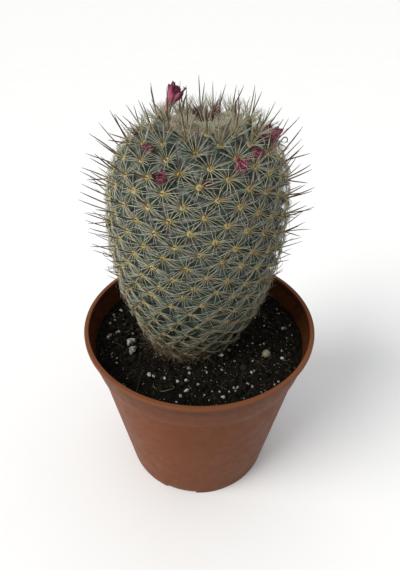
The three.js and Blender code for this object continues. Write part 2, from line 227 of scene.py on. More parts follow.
# ---- Materials ----
class Paint:
    """A short way to write a material's nodes."""

    def __init__(self, name, roughness=0.6, **sockets):
        self.material = bpy.data.materials.new(name)
        self.material.use_nodes = True
        self.tree = self.material.node_tree
        self.shader = self.tree.nodes["Principled BSDF"]
        self.shader.inputs["Roughness"].default_value = roughness
        for key, value in sockets.items():
            self.shader.inputs[key.replace("_", " ")].default_value = value
        self.place = self.tree.nodes.new("ShaderNodeTexCoord").outputs["Object"]

    def node(self, kind, **values):
        made = self.tree.nodes.new(kind)
        for key, value in values.items():
            setattr(made, key, value)
        return made

    def link(self, a, b):
        self.tree.links.new(a, b)

    def noise(self, size_mm, detail=4.0, roughness=0.6):
        made = self.node("ShaderNodeTexNoise")
        made.inputs["Scale"].default_value = 1 / (size_mm * MM)
        made.inputs["Detail"].default_value = detail
        made.inputs["Roughness"].default_value = roughness
        self.link(self.place, made.inputs["Vector"])
        return made.outputs["Fac"]

    def value(self, name):
        return self.node("ShaderNodeAttribute", attribute_name=name).outputs["Fac"]

    def ramp(self, fac, stops):
        made = self.node("ShaderNodeValToRGB")
        elements = made.color_ramp.elements
        while len(elements) < len(stops):
            elements.new(0.5)
        for element, (position, colour) in zip(elements, stops):
            element.position = position
            element.color = (*colour, 1)
        self.link(fac, made.inputs["Fac"])
        return made.outputs["Color"]

    def shade(self, fac, low, high):
        """0 below low, 1 above high."""
        return self.ramp(fac, [(low, (0, 0, 0)), (high, (1, 1, 1))])

    def mix(self, fac, a, b):
        made = self.node("ShaderNodeMix", data_type="RGBA")
        for socket, value in ((made.inputs["Factor"], fac), (made.inputs[6], a), (made.inputs[7], b)):
            if isinstance(value, (int, float)):
                socket.default_value = value
            elif isinstance(value, tuple):
                socket.default_value = (*value, 1)
            else:
                self.link(value, socket)
        return made.outputs[2]

    def tint(self, body, amount, strength, colour):
        """The body's colour, with this much of another over it."""
        return self.mix(self.math("MULTIPLY", amount, strength), body, colour)

    def math(self, operation, a, b):
        made = self.node("ShaderNodeMath", operation=operation)
        for socket, value in zip(made.inputs, (a, b)):
            if isinstance(value, (int, float)):
                socket.default_value = value
            else:
                self.link(value, socket)
        return made.outputs[0]

    def bump(self, height, depth_mm, strength=1.0):
        made = self.node("ShaderNodeBump")
        made.inputs["Distance"].default_value = depth_mm * MM
        made.inputs["Strength"].default_value = strength
        self.link(height, made.inputs["Height"])
        return made.outputs["Normal"]

    def finish(self, colour, normal=None, roughness=None):
        self.link(colour, self.shader.inputs["Base Color"])
        if normal is not None:
            self.link(normal, self.shader.inputs["Normal"])
        if roughness is not None:
            self.link(roughness, self.shader.inputs["Roughness"])
        return self.material


def pot_material():
    p = Paint("moulded_terracotta_plastic", 0.46, Specular_IOR_Level=0.06)
    body = p.ramp(p.noise(24, 4), [(0.32, (0.136, 0.039, 0.0105)), (0.68, (0.158, 0.047, 0.0155))])
    specks = p.shade(p.noise(0.9, 3), 0.63, 0.72)
    body = p.tint(body, specks, 0.18, (0.26, 0.13, 0.085))
    scuffs = p.shade(p.noise(5, 6, 0.7), 0.54, 0.72)
    body = p.tint(body, scuffs, 0.15, (0.19, 0.072, 0.035))
    # Painted highlight: lighter on the lip's top and along the band's step.
    body = p.tint(body, p.value("painted_highlight"), 0.28, (0.26, 0.125, 0.075))
    # Painted shade: dark lines under the lip and at the band's step, and a painted shadow of the rim over the
    # band.
    body = p.tint(body, p.value("painted_shade"), 0.62, (0.045, 0.020, 0.014))
    # Painted shade with patchy soil dirt on the inner wall, stronger lower down.
    dirt = p.math("MULTIPLY", p.value("inside"), p.shade(p.noise(4, 5, 0.7), 0.2, 0.62))
    body = p.tint(body, dirt, 0.85, (0.022, 0.013, 0.009))
    gloss = p.ramp(p.noise(5, 5, 0.7), [(0.35, (0.38, 0.38, 0.38)), (0.7, (0.56, 0.56, 0.56))])
    return p.finish(body, p.bump(p.noise(0.5, 2), 0.03, 0.5), gloss)


def soil_material():
    p = Paint("moist_peat", 0.95, Specular_IOR_Level=0.06)
    fine = p.noise(0.8, 6, 0.75)
    grit = [(0.32, (0.0024, 0.0022, 0.0017)), (0.55, (0.008, 0.0072, 0.0055)), (0.8, (0.036, 0.031, 0.023))]
    body = p.mix(p.value("tone"), p.ramp(fine, grit), (0.030, 0.023, 0.016))
    return p.finish(body, p.bump(fine, 0.4, 1.0))


def perlite_material():
    p = Paint("perlite", 0.85)
    whites = [(0.0, (0.13, 0.13, 0.10)), (0.5, (0.29, 0.29, 0.235)), (1.0, (0.52, 0.53, 0.50))]
    dirt = p.shade(p.noise(0.6, 4), 0.48, 0.62)
    body = p.tint(p.ramp(p.value("tone"), whites), dirt, 0.7, (0.12, 0.10, 0.08))
    return p.finish(body, p.bump(p.noise(0.35, 4), 0.12, 0.9))


def flesh_material():
    p = Paint("cactus_flesh", 0.5, Specular_IOR_Level=0.35)
    level = p.value("level")
    body = p.ramp(p.noise(3.2, 4), [(0.32, (0.014, 0.030, 0.022)), (0.68, (0.031, 0.055, 0.037))])
    dots = p.shade(p.noise(0.5, 3), 0.5, 0.65)
    body = p.tint(body, dots, 0.3, (0.075, 0.11, 0.085))
    wool = p.math("MULTIPLY", p.shade(p.value("groove"), 0.62, 0.95), p.shade(level, 0.35, 0.7))
    body = p.tint(body, wool, 0.75, (0.25, 0.24, 0.23))
    old = p.math("SUBTRACT", 1.0, p.shade(level, 0.0, 0.16))
    body = p.tint(body, old, 0.7, (0.11, 0.085, 0.045))
    return p.finish(body, p.bump(p.noise(0.6, 4), 0.12, 0.7))


def radial_material():
    p = Paint("radial_spines", 0.42)
    along = p.value("along")
    pale = [(0.0, (0.46, 0.36, 0.13)), (0.24, (0.44, 0.43, 0.29)), (1.0, (0.44, 0.455, 0.375))]
    tan = [(0.0, (0.28, 0.20, 0.09)), (0.35, (0.28, 0.26, 0.17)), (1.0, (0.33, 0.32, 0.23))]
    body = p.mix(p.shade(p.value("level"), 0.1, 0.6), p.ramp(along, tan), p.ramp(along, pale))
    return p.finish(p.tint(body, p.value("tone"), 0.45, (0.30, 0.25, 0.17)))


def central_material():
    p = Paint("central_spines", 0.38)
    along = p.value("along")
    dark = p.ramp(along, [
        (0.0, (0.32, 0.23, 0.09)), (0.34, (0.17, 0.11, 0.052)), (0.56, (0.050, 0.029, 0.018)),
        (1.0, (0.008, 0.006, 0.006)),
    ])
    red = p.ramp(along, [
        (0.0, (0.27, 0.13, 0.06)), (0.45, (0.125, 0.040, 0.022)), (1.0, (0.036, 0.014, 0.011)),
    ])
    return p.finish(p.mix(p.value("tone"), dark, red))


def areole_material():
    p = Paint("areole_felt", 0.9)
    tufts = p.noise(0.35, 3)
    felt = p.ramp(tufts, [(0.3, (0.36, 0.275, 0.105)), (0.7, (0.53, 0.43, 0.20))])
    old = p.ramp(tufts, [(0.3, (0.26, 0.19, 0.09)), (0.7, (0.38, 0.29, 0.15))])
    body = p.mix(p.shade(p.value("level"), 0.3, 0.6), old, felt)
    body = p.mix(p.value("young"), body, (0.40, 0.34, 0.24))
    centre = p.math("SUBTRACT", 1.0, p.shade(p.value("along"), 0.12, 0.26))
    body = p.tint(body, centre, 0.85, (0.075, 0.042, 0.020))
    return p.finish(body, p.bump(p.noise(0.25, 3), 0.15, 0.9))


def wool_material():
    p = Paint("wool", 0.85)
    greys = [(0.0, (0.25, 0.24, 0.24)), (0.6, (0.38, 0.365, 0.35)), (1.0, (0.62, 0.50, 0.35))]
    return p.finish(p.ramp(p.value("tone"), greys))


def fibre_material():
    p = Paint("dry_fibres", 0.8)
    browns = [(0.0, (0.05, 0.032, 0.02)), (0.6, (0.20, 0.135, 0.07)), (1.0, (0.34, 0.26, 0.14))]
    return p.finish(p.ramp(p.value("tone"), browns))


def petal_material():
    p = Paint("dried_petals", 0.55)
    along = p.value("along")
    fresh = p.ramp(along, [
        (0.0, (0.13, 0.075, 0.03)), (0.25, (0.38, 0.24, 0.16)), (0.62, (0.42, 0.17, 0.17)),
        (0.83, (0.38, 0.075, 0.13)), (0.94, (0.22, 0.024, 0.072)), (1.0, (0.06, 0.008, 0.026)),
    ])
    dry = p.ramp(along, [
        (0.0, (0.13, 0.06, 0.035)), (0.4, (0.115, 0.020, 0.026)), (1.0, (0.045, 0.010, 0.013)),
    ])
    streaks = p.shade(p.noise(0.5, 4), 0.5, 0.7)
    body = p.tint(p.mix(p.value("tone"), fresh, dry), streaks, 0.35, (0.42, 0.14, 0.20))
    return p.finish(body, p.bump(p.noise(0.4, 3), 0.12, 0.8))


def prill_material():
    p = Paint("fertiliser_coating", 0.4)
    body = p.ramp(p.noise(1.2, 4), [(0.3, (0.16, 0.135, 0.080)), (0.7, (0.27, 0.24, 0.155))])
    return p.finish(body, p.bump(p.noise(0.5, 3), 0.08, 0.7))


def floor_material():
    p = Paint("white_table", 0.6)
    return p.finish(p.ramp(p.noise(60, 3), [(0.3, (0.915, 0.915, 0.915)), (0.7, (0.93, 0.93, 0.93))]))


# ---- Camera, light and floor ----
SENSOR_MM = 36.0
LENS_MM = 26.97
EYE = (-0.06, -150.54, 219.02)
EYE_RIGHT = (0.99987, 0.00962, 0.01286)
EYE_UP = (-0.01606, 0.59895, 0.80063)
FLOOR_HALF = 6000.0


def camera():
    """A phone's lens, close in front of the plant and looking down at its crown."""
    data = bpy.data.cameras.new("camera")
    data.sensor_width = SENSOR_MM
    data.lens = LENS_MM
    data.clip_start = 0.01
    data.clip_end = 50
    eye = bpy.data.objects.new("camera", data)
    bpy.context.scene.collection.objects.link(eye)
    right = Vector(EYE_RIGHT).normalized()
    up = Vector(EYE_UP)
    up = (up - right * up.dot(right)).normalized()
    back = right.cross(up)
    turn = Matrix((right, up, back)).transposed().to_4x4()
    eye.matrix_world = Matrix.Translation(Vector(EYE) * MM) @ turn
    bpy.context.scene.camera = eye


def soft_sun(name, towards, strength, angle_deg, colour):
    """A broad, even light from this side, as from a large window or a white ceiling."""
    data = bpy.data.lights.new(name, "SUN")
    data.energy = strength
    data.angle = math.radians(angle_deg)
    data.color = colour
    lamp = bpy.data.objects.new(name, data)
    lamp.location = Vector(towards)
    lamp.rotation_euler = Vector(towards).to_track_quat("Z", "Y").to_euler()
    bpy.context.scene.collection.objects.link(lamp)


def studio():
    """A pale sky, a window at the left, a bright ceiling and a white floor."""
    world = bpy.data.worlds.new("studio")
    world.use_nodes = True
    sky = world.node_tree.nodes["Background"]
    sky.inputs["Color"].default_value = (0.96, 0.98, 1.0, 1)
    sky.inputs["Strength"].default_value = 0.40
    bpy.context.scene.world = world
    soft_sun("window", (-0.72, -0.38, 0.62), strength=2.7, angle_deg=38, colour=(1.0, 0.985, 0.95))
    soft_sun("ceiling", (0.05, 0.15, 1.0), strength=0.75, angle_deg=90, colour=(1.0, 1.0, 1.0))
    bpy.context.scene.view_settings.view_transform = "Standard"
    bpy.context.scene.view_settings.look = "None"
    corners = [(x * FLOOR_HALF, y * FLOOR_HALF, 0) for x, y in ((-1, -1), (1, -1), (1, 1), (-1, 1))]
    floor = mesh_piece("floor", corners, [np.array([[0, 1, 2, 3]])], floor_material())


# ---- Pot ----
POT_BASE_RADIUS = 37.8
POT_WALL = 1.2
LIP_WIDTH = 2.0
LIP_HEIGHT = 2.2
LIP_OVERHANG = 0.6
BAND_HEIGHT = 15.9
BAND_TAPER = 3.0
BAND_STEP = 0.8
FOOT_HEIGHT = 3.6
FOOT_WIDTH = 2.0
FLOOR_THICKNESS = 1.4
NOTCH_COUNT = 4
NOTCH_HALF_DEG = 11.4
NOTCH_HEIGHT = 1.4
NOTCH_START_DEG = -102.0
DRAIN_COUNT = 8
DRAIN_RADIUS = 3.5
DRAIN_RING_RADIUS = 24.0
DRAIN_CENTRE_RADIUS = 5.0
CORNER_ROUND = 0.42
NOTCH_SOFT_DEG = 0.9
OUT_OF_ROUND = 0.0009


def rounded(points, radius, steps=4):
    """The same outline with each corner rounded off by a short curve."""
    points = [np.array(q, float) for q in points]
    out = [points[0]]
    for before, corner, after in zip(points, points[1:], points[2:]):
        a, b = before - corner, after - corner
        reach = min(radius, 0.45 * np.linalg.norm(a), 0.45 * np.linalg.norm(b))
        start, end = corner + unit(a) * reach, corner + unit(b) * reach
        for t in np.linspace(0, 1, steps + 1):
            out.append((1 - t) ** 2 * start + 2 * t * (1 - t) * corner + t * t * end)
    out.append(points[-1])
    return np.array(out)


def pot_wall_radius(z):
    """The outside of the pot's wall at this height."""
    band_bottom = POT_HEIGHT - BAND_HEIGHT
    band_top_radius = RIM_RADIUS - LIP_OVERHANG
    if z > band_bottom:
        return band_top_radius - BAND_TAPER * (1 - (z - band_bottom) / (BAND_HEIGHT - LIP_HEIGHT))
    return mix(POT_BASE_RADIUS, band_top_radius - BAND_TAPER - BAND_STEP, z / band_bottom)


def pot_profile():
    """Half of the pot's section, from the middle of the floor's underside round to its top."""
    lip_z = POT_HEIGHT - LIP_HEIGHT
    band_z = POT_HEIGHT - BAND_HEIGHT
    floor_z = FOOT_HEIGHT + FLOOR_THICKNESS
    lip_inner = RIM_RADIUS - LIP_WIDTH
    foot_inner = POT_BASE_RADIUS - FOOT_WIDTH

    def inner(z):
        return pot_wall_radius(z) - POT_WALL

    corners = [
        (0.01, FOOT_HEIGHT), (foot_inner, FOOT_HEIGHT), (foot_inner, 0), (POT_BASE_RADIUS, 0),
        (pot_wall_radius(band_z - 0.3), band_z - 0.3), (pot_wall_radius(band_z + 0.3), band_z + 0.3),
        (pot_wall_radius(lip_z), lip_z), (RIM_RADIUS, lip_z + 0.35), (RIM_RADIUS, POT_HEIGHT),
        (lip_inner, POT_HEIGHT), (lip_inner, lip_z + 0.4), (inner(lip_z), lip_z - 0.8),
        (inner(band_z + 0.4), band_z + 0.4), (inner(band_z - 0.4), band_z - 0.4),
        (inner(floor_z), floor_z), (0.01, floor_z),
    ]
    smooth = rounded(corners, CORNER_ROUND)
    dense = [smooth[0]]
    for a, b in zip(smooth, smooth[1:]):
        parts = max(1, int(np.linalg.norm(b - a) / 4))
        dense.extend(a + (b - a) * t for t in np.linspace(0, 1, parts + 1)[1:])
    return np.array(dense)


def pot_painted_light_and_dirt(profile):
    """Painted light and dirt for each point of the pot's outline: a painted highlight on the lip's top and
    the band's step, painted shade under the lip, at the step and as the rim's shadow on the band, and painted
    shade with soil dirt on the inner wall.
    """
    r, z = profile.T
    wall = np.array([pot_wall_radius(level) for level in z])
    lip_z = POT_HEIGHT - LIP_HEIGHT
    band_z = POT_HEIGHT - BAND_HEIGHT
    outer = r > wall - 0.5 * POT_WALL
    # Painted shade under the lip and at the band's step, and a painted shadow of the rim over the band.
    painted_shade = np.exp(-(((z - lip_z + 0.2) / 0.35) ** 2)) + np.exp(-(((z - band_z) / 0.4) ** 2))
    painted_shade = painted_shade + 0.27 * smoothstep(band_z, band_z + 1.2, z) * (z < lip_z)
    # Painted highlight on the lip's top and, on the outside, along the band's step.
    painted_highlight = smoothstep(POT_HEIGHT - 0.9, POT_HEIGHT - 0.1, z)
    painted_highlight = painted_highlight + 0.55 * np.exp(-(((z - band_z - 1.0) / 0.5) ** 2)) * outer
    # The inner wall, for painted shade with soil dirt, stronger lower down.
    inside = ~outer & (z > FOOT_HEIGHT + FLOOR_THICKNESS) & (z < lip_z + 0.6)
    return {"painted_highlight": painted_highlight, "painted_shade": painted_shade * outer, "inside": inside * mix(1.0, 0.75, z / POT_HEIGHT)}


def pot():
    """The whole pot, turned from its outline, with notches in its foot and holes in its floor."""
    profile = pot_profile()
    columns = 288
    angle = turns(columns)
    radius = profile[:, :1] * np.ones(columns)
    level = profile[:, 1:] * np.ones(columns)
    pitch = 360 / NOTCH_COUNT
    off = np.abs((np.degrees(angle) - NOTCH_START_DEG + pitch / 2) % pitch - pitch / 2)
    notch = NOTCH_HEIGHT * smoothstep(NOTCH_HALF_DEG + NOTCH_SOFT_DEG, NOTCH_HALF_DEG - NOTCH_SOFT_DEG, off)
    outer = radius > POT_BASE_RADIUS - FOOT_WIDTH - 0.1
    low = level < FOOT_HEIGHT - 0.5
    level = np.where(outer & low, level + notch * (1 - level / FOOT_HEIGHT).clip(0, 1), level)
    warp = 1 + OUT_OF_ROUND * np.cos(2 * angle - 0.6) * (level / POT_HEIGHT)
    verts = np.stack([radius * warp * np.cos(angle), radius * warp * np.sin(angle), level], -1)
    faces = ring_faces(len(profile), columns)[:, ::-1]
    poles = [np.arange(columns)[None], (len(profile) - 1) * columns + np.arange(columns)[None, ::-1]]
    shades = {name: np.repeat(value, columns) for name, value in pot_painted_light_and_dirt(profile).items()}
    verts = verts.reshape(-1, 3)
    piece = mesh_piece("nursery_pot", verts, [faces, *poles], pot_material(), attributes=shades)
    holes = [(DRAIN_CENTRE_RADIUS, 0.0, 0.0)]
    for i in range(DRAIN_COUNT):
        turn = 2 * math.pi * (i + 0.5) / DRAIN_COUNT
        holes.append((DRAIN_RADIUS, DRAIN_RING_RADIUS * math.cos(turn), DRAIN_RING_RADIUS * math.sin(turn)))
    for hole_radius, x, y in holes:
        bore(piece, hole_radius, x, y)
    return settle(piece, "pot_plastic", "pot")


def bore(piece, radius, x, y):
    """A drainage hole through the pot's floor."""
    middle = Vector((x, y, FOOT_HEIGHT + FLOOR_THICKNESS / 2)) * MM
    bpy.ops.mesh.primitive_cylinder_add(vertices=32, radius=radius * MM, depth=4 * MM, location=middle)
    cutter = bpy.context.object
    cut = piece.modifiers.new("bore", "BOOLEAN")
    cut.object = cutter
    cut.solver = "EXACT"
    bpy.context.view_layer.objects.active = piece
    bpy.ops.object.modifier_apply(modifier="bore")
    bpy.data.objects.remove(cutter)


# ---- Stem outline and tubercles ----
def catmull_rom(points, count):
    """The smooth curve that the CAD outline uses, through evenly numbered points."""
    points = np.array(points, float)
    t = np.linspace(0, len(points) - 1, count)
    i = np.minimum(t.astype(int), len(points) - 2)
    w = (t - i)[:, None]
    p0, p1 = points[np.maximum(i - 1, 0)], points[i]
    p2, p3 = points[i + 1], points[np.minimum(i + 2, len(points) - 1)]
    v0, v1 = (p2 - p0) / 2, (p3 - p1) / 2
    return (2 * p1 - 2 * p2 + v0 + v1) * w**3 + (-3 * p1 + 3 * p2 - 2 * v0 - v1) * w**2 + v0 * w + p1


def stem_outline():
    crown = [(0, STEM_HEIGHT - CROWN_DIP), (0.17 * STEM_RADIUS, STEM_HEIGHT - 0.3 * CROWN_DIP)]
    shoulder = [(0.34, 1), (0.515, 0.983), (0.72, 0.935), (0.87, 0.87), (0.963, 0.768)]
    barrel = [(1, 0.624), (0.95, 0.48), (0.74, 0.292), (0.29, 0.107), (0, 0)]
    crown += [(r * STEM_RADIUS, h * STEM_HEIGHT) for r, h in shoulder]
    crown += [(mix(NECK_RADIUS, STEM_RADIUS, share), h * STEM_HEIGHT) for share, h in barrel]
    return catmull_rom(crown, 1200)


OUTLINE = stem_outline()
STEPS = np.linalg.norm(np.diff(OUTLINE, axis=0), axis=1)
LENGTH_TO = np.r_[0, np.cumsum(STEPS)]
AREA_TO = np.r_[0, np.cumsum(np.pi * (OUTLINE[1:, 0] + OUTLINE[:-1, 0]) * STEPS)]
SLOPE = unit(np.gradient(OUTLINE, axis=0))


def stem_point(length, angle):
    """Place, outward normal, direction up the stem and height, this far down the outline from the crown."""
    r = np.interp(length, LENGTH_TO, OUTLINE[:, 0])
    h = np.interp(length, LENGTH_TO, OUTLINE[:, 1])
    dr = np.interp(length, LENGTH_TO, SLOPE[:, 0])
    dh = np.interp(length, LENGTH_TO, SLOPE[:, 1])
    rise = np.clip((h - CROWN_SHIFT_START) / (STEM_HEIGHT - CROWN_SHIFT_START), 0, 1)
    x = STEM_X + STEM_LEAN * h + CROWN_SHIFT * rise**CROWN_SHIFT_POWER
    out = around(angle)
    top = np.array([0.0, 0.0, 1.0])
    place = np.stack([x, np.full_like(x, STEM_Y), SOIL_Z + h], -1) + out * r[..., None]
    normal = unit(out * -dh[..., None] + top * dr[..., None])
    upward = unit(-(out * dr[..., None] + top * dh[..., None]))
    return place, normal, upward, h


def tubercles():
    """Every areole on the spiral, from the crown down: place, frame, size and height."""
    crown_end = CROWN_GROWTH - SPIRAL_START_AREA / TUBERCLE_AREA
    k = np.arange(CROWN_FIRST, SPIRAL_END)
    size = np.minimum(1, np.exp((k - crown_end) / CROWN_GROWTH))
    area = np.where(k < crown_end, TUBERCLE_AREA * CROWN_GROWTH * size, SPIRAL_START_AREA + TUBERCLE_AREA * k)
    keep = area < AREA_TO[-1]
    k, size, area = k[keep], size[keep], area[keep]
    angle = np.radians(SPIRAL_START_DEG - SPIRAL_DEG * k) + RNG.normal(size=len(k)) * SPIRAL_STRAY
    length = np.interp(area, AREA_TO, LENGTH_TO) + RNG.normal(size=len(k)) * HEIGHT_STRAY * size
    place, normal, upward, height = stem_point(length, angle)
    return {
        "k": k, "size": np.sqrt(size), "place": place, "normal": normal, "up": upward,
        "side": np.cross(upward, normal), "height": height, "level": height / STEM_HEIGHT,
    }


TIPS = tubercles()


def flesh_depth(points, level):
    """How far the flesh lies inside the outline: nothing at an areole, the full depth in the axils."""
    depth = np.zeros(len(points))
    groove = np.zeros(len(points))
    tips = TIPS["place"].astype(np.float32)
    batch = 8000
    for start in range(0, len(points), batch):
        block = points[start:start + batch].astype(np.float32)
        away = np.linalg.norm(block[:, None] - tips[None], axis=2)
        order = np.argpartition(away, 1, axis=1)[:, :2]
        near = np.take_along_axis(away, order, 1)
        first = order[np.arange(len(block)), near.argmin(1)]
        d1, d2 = near.min(1), near.max(1)
        size = TIPS["size"][first]
        flat = TUBERCLE_FLAT * size
        share = np.clip(2 * np.maximum(d1 - flat, 0) / (d1 + d2 - flat), 0, 1)
        groove[start:start + batch] = share
        depth[start:start + batch] = TUBERCLE_DEPTH * size * share**TUBERCLE_POWER
    old = mix(0.55, 1.0, smoothstep(0.0, 0.2, level))
    return depth * old, groove


def stem():
    """The flesh, from near the growing point to a short way under the soil."""
    rows, columns = 250, 380
    below = 7.0
    length = np.linspace(0.02, 1, rows) * (LENGTH_TO[-1] + below)
    angle = turns(columns)
    length, angle = np.meshgrid(length, angle, indexing="ij")
    inside = np.minimum(length, LENGTH_TO[-1])
    place, normal, _, height = stem_point(inside, angle)
    level = (height / STEM_HEIGHT).ravel()
    points, normals = place.reshape(-1, 3), normal.reshape(-1, 3)
    depth, groove = flesh_depth(points, level)
    depth += 0.10 * wobble(points, 1.8, 3)
    points = points - normals * depth[:, None]
    buried = (length - inside).ravel()
    points[:, 2] -= buried
    points[:, :2] -= normals[:, :2] * 0.35 * buried[:, None]
    faces = ring_faces(rows, columns)[:, ::-1]
    ends = [np.arange(columns)[None], (rows - 1) * columns + np.arange(columns)[None, ::-1]]
    shades = {"groove": groove, "level": level}
    piece = mesh_piece("stem_flesh", points, [faces, *ends], flesh_material(), attributes=shades)
    return settle(piece, "cactus_skin", "cactus_stem")


# ---- Spines ----
# Where two values are given, they are for the lower body and the crown, or the least and the most.
RADIAL_COUNT = 19
RADIAL_TAPER = [1.0, 1.0, 0.85, 0.6, 0.2]
RADIAL_THICK = (0.10, 0.145)
RADIAL_LENGTH = 4.3
RADIAL_SIDEWAYS = 2.5
RADIAL_CROWN_LENGTH = 6.9
RADIAL_RAISED_DEG = (20.0, 64.0)
RADIAL_BEND_DEG = (36.0, 10.0)
CENTRAL_TAPER = [1.0, 0.97, 0.9, 0.78, 0.58, 0.2]
CENTRAL_THICK = (0.16, 0.27)
CENTRAL_LENGTH = (6.5, 11.0)
SECOND_SHARE = 0.2
SECOND_LOWER_DEG = 32.0
HOOKED_SHARE = 0.16
HOOK_DEG = 55
TUFT_COUNT = 40
TUFT_TAPER = [1.0, 0.95, 0.85, 0.65, 0.25]
TUFT_THICK = (0.17, 0.24)
TUFT_LENGTH = (6.5, 10.5)
TUFT_RADIUS = 2.0


def radial_paths(tip, star):
    """The way of each radial spine, from its areole in its direction round the star."""
    count = len(tip)
    size = TIPS["size"][tip]
    level = TIPS["level"][tip]
    normal = TIPS["normal"][tip]
    up = TIPS["up"][tip]
    crown = smoothstep(0.6, 0.97, normal[:, 2])
    star = star + mix(0.42, 0.22, smoothstep(0.2, 0.7, level)) * np.sin(2 * star) * (1 - crown)
    length = mix(RADIAL_LENGTH + RADIAL_SIDEWAYS * np.abs(np.sin(star)), RADIAL_CROWN_LENGTH, crown)
    length += RNG.normal(size=count) * 0.35
    grown = smoothstep(0.5, 0.86, size)
    length *= mix(0.34, 1.0, grown)
    raised = mix(*RADIAL_RAISED_DEG, crown) * mix(0.6, 1.0, grown)
    raised = np.radians(raised + RNG.normal(size=count) * 5)
    bend = np.radians(mix(*RADIAL_BEND_DEG, crown) + RNG.normal(size=count) * 6)
    droop = 0.20 * (1 - crown) * smoothstep(0.85, 0.3, level)
    out = up * np.cos(star)[:, None] + TIPS["side"][tip] * np.sin(star)[:, None]
    sway = np.cross(normal, out) * RNG.normal(size=(count, 1)) * 0.05
    steps = []
    last = len(RADIAL_TAPER) - 1
    for i in range(1, last + 1):
        lift = raised - bend * (i - 0.5) / last
        step = out * np.cos(lift)[:, None] + normal * np.sin(lift)[:, None] + sway * i
        steps.append(step - up * (droop * i)[:, None])
    foot = TIPS["place"][tip] + out * (0.75 * size)[:, None] + normal * 0.25
    return paths_along(foot, steps, length)


def radial_spines():
    """Thin pale spines that star out from each areole and bend back to the body."""
    material = radial_material()
    chosen = np.where(TIPS["height"] > 1.5)[0]
    tip = np.repeat(chosen, RADIAL_COUNT)
    count = len(tip)
    star = np.tile(turns(RADIAL_COUNT), len(chosen))
    star += np.repeat(RNG.uniform(0, 6, len(chosen)), RADIAL_COUNT) + RNG.normal(size=count) * 0.045
    paths = radial_paths(tip, star)
    level = TIPS["level"][tip]
    thick = RNG.uniform(*RADIAL_THICK, count) * mix(0.8, 1.0, TIPS["size"][tip])
    radii = thick[:, None] * np.array(RADIAL_TAPER)
    tone = RNG.uniform(0, 1, count) ** 2.2
    kept = RNG.uniform(size=count) < mix(0.62, 1.0, smoothstep(0.15, 0.6, level))
    half = level > 0.62
    for name, part in (("radial_spines_upper", kept & half), ("radial_spines_lower", kept & ~half)):
        values = {"tone": tone[part], "level": level[part]}
        tube_piece(name, paths[part], radii[part], 3, material, "spine", **values)


def central_tips():
    """The areoles with central spines, one entry a spine, and which of them are an areole's second."""
    chosen = np.where((TIPS["height"] > 14) & (TIPS["k"] > -3))[0]
    tip = np.repeat(chosen, np.where(TIPS["level"][chosen] > 0.45, 2, 1))
    second = np.r_[False, tip[1:] == tip[:-1]]
    keep = ~second | (RNG.uniform(size=len(tip)) < SECOND_SHARE)
    return tip[keep], second[keep]


def central_heading(tip, second):
    """Directions that rise from the body, the more so towards the crown."""
    normal = TIPS["normal"][tip]
    rise = np.interp(TIPS["level"][tip], [0, 0.4, 0.62, 0.8, 1], [42, 38, 25, 34, 45])
    rise = np.maximum(rise, np.degrees(np.arcsin(normal[:, 2])) + 6) - second * SECOND_LOWER_DEG
    rise = np.radians(np.minimum(rise + RNG.normal(size=len(tip)) * 7, 97))
    lean = np.radians(RNG.normal(size=len(tip)) * 9)
    heading = unit(normal * [1, 1, 0]) * np.cos(rise)[:, None] + [0, 0, 1] * np.sin(rise)[:, None]
    return unit(heading + TIPS["side"][tip] * np.sin(lean)[:, None])


def central_spines():
    """Stiff dark spines, upright at the crown, raised at the sides, a few of them hooked."""
    tip, second = central_tips()
    count = len(tip)
    size = TIPS["size"][tip]
    level = TIPS["level"][tip]
    heading = central_heading(tip, second)
    length = mix(*CENTRAL_LENGTH, smoothstep(0.25, 0.8, level)) + RNG.normal(size=count) * 1.1
    length *= mix(0.55, 1.0, smoothstep(0.2, 0.7, size)) * np.where(second, 0.7, 1.0)
    curl = np.radians(RNG.normal(size=count) * 8 + 6)
    hooked = (RNG.uniform(size=count) < HOOKED_SHARE) & (level < 0.65)
    stations = len(CENTRAL_TAPER)
    steps = []
    for i in range(1, stations):
        turn = curl * i / stations + hooked * np.radians(max(0, i - 3) * HOOK_DEG)
        steps.append(heading * np.cos(turn)[:, None] + TIPS["up"][tip] * np.sin(turn)[:, None])
    paths = paths_along(TIPS["place"][tip] + TIPS["normal"][tip] * 0.2, steps, length)
    thick = mix(*CENTRAL_THICK, smoothstep(0.3, 0.8, level))
    thick *= RNG.uniform(0.85, 1.15, count) * mix(0.8, 1, size)
    radii = thick[:, None] * np.array(CENTRAL_TAPER)
    red = np.clip(smoothstep(0.9, 0.3, size) + RNG.uniform(-0.2, 0.35, count), 0, 1)
    nodes = [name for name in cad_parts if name.startswith("central_spine_")]
    return tube_piece("central_spines", paths, radii, 5, central_material(), "spine", *nodes, tone=red)


def crown_tuft():
    """The youngest spines: a reddish brush over the growing point."""
    middle, _, _, _ = stem_point(np.array([0.0]), np.array([0.0]))
    out = around(RNG.uniform(0, 2 * np.pi, TUFT_COUNT))
    spread = TUFT_RADIUS * np.sqrt(RNG.uniform(0.02, 1, TUFT_COUNT))
    foot = middle + out * spread[:, None] + [0, 0, -0.8]
    length = RNG.uniform(*TUFT_LENGTH, TUFT_COUNT)
    steps = []
    for i in range(1, len(TUFT_TAPER)):
        lean = 0.16 + 0.17 * i + RNG.normal(size=TUFT_COUNT) * 0.12
        steps.append(out * lean[:, None] + [0, 0, 1])
    paths = paths_along(foot, steps, length)
    radii = RNG.uniform(*TUFT_THICK, TUFT_COUNT)[:, None] * np.array(TUFT_TAPER)
    tone = np.ones(TUFT_COUNT)
    return tube_piece("crown_tuft", paths, radii, 4, central_material(), "spine", tone=tone)


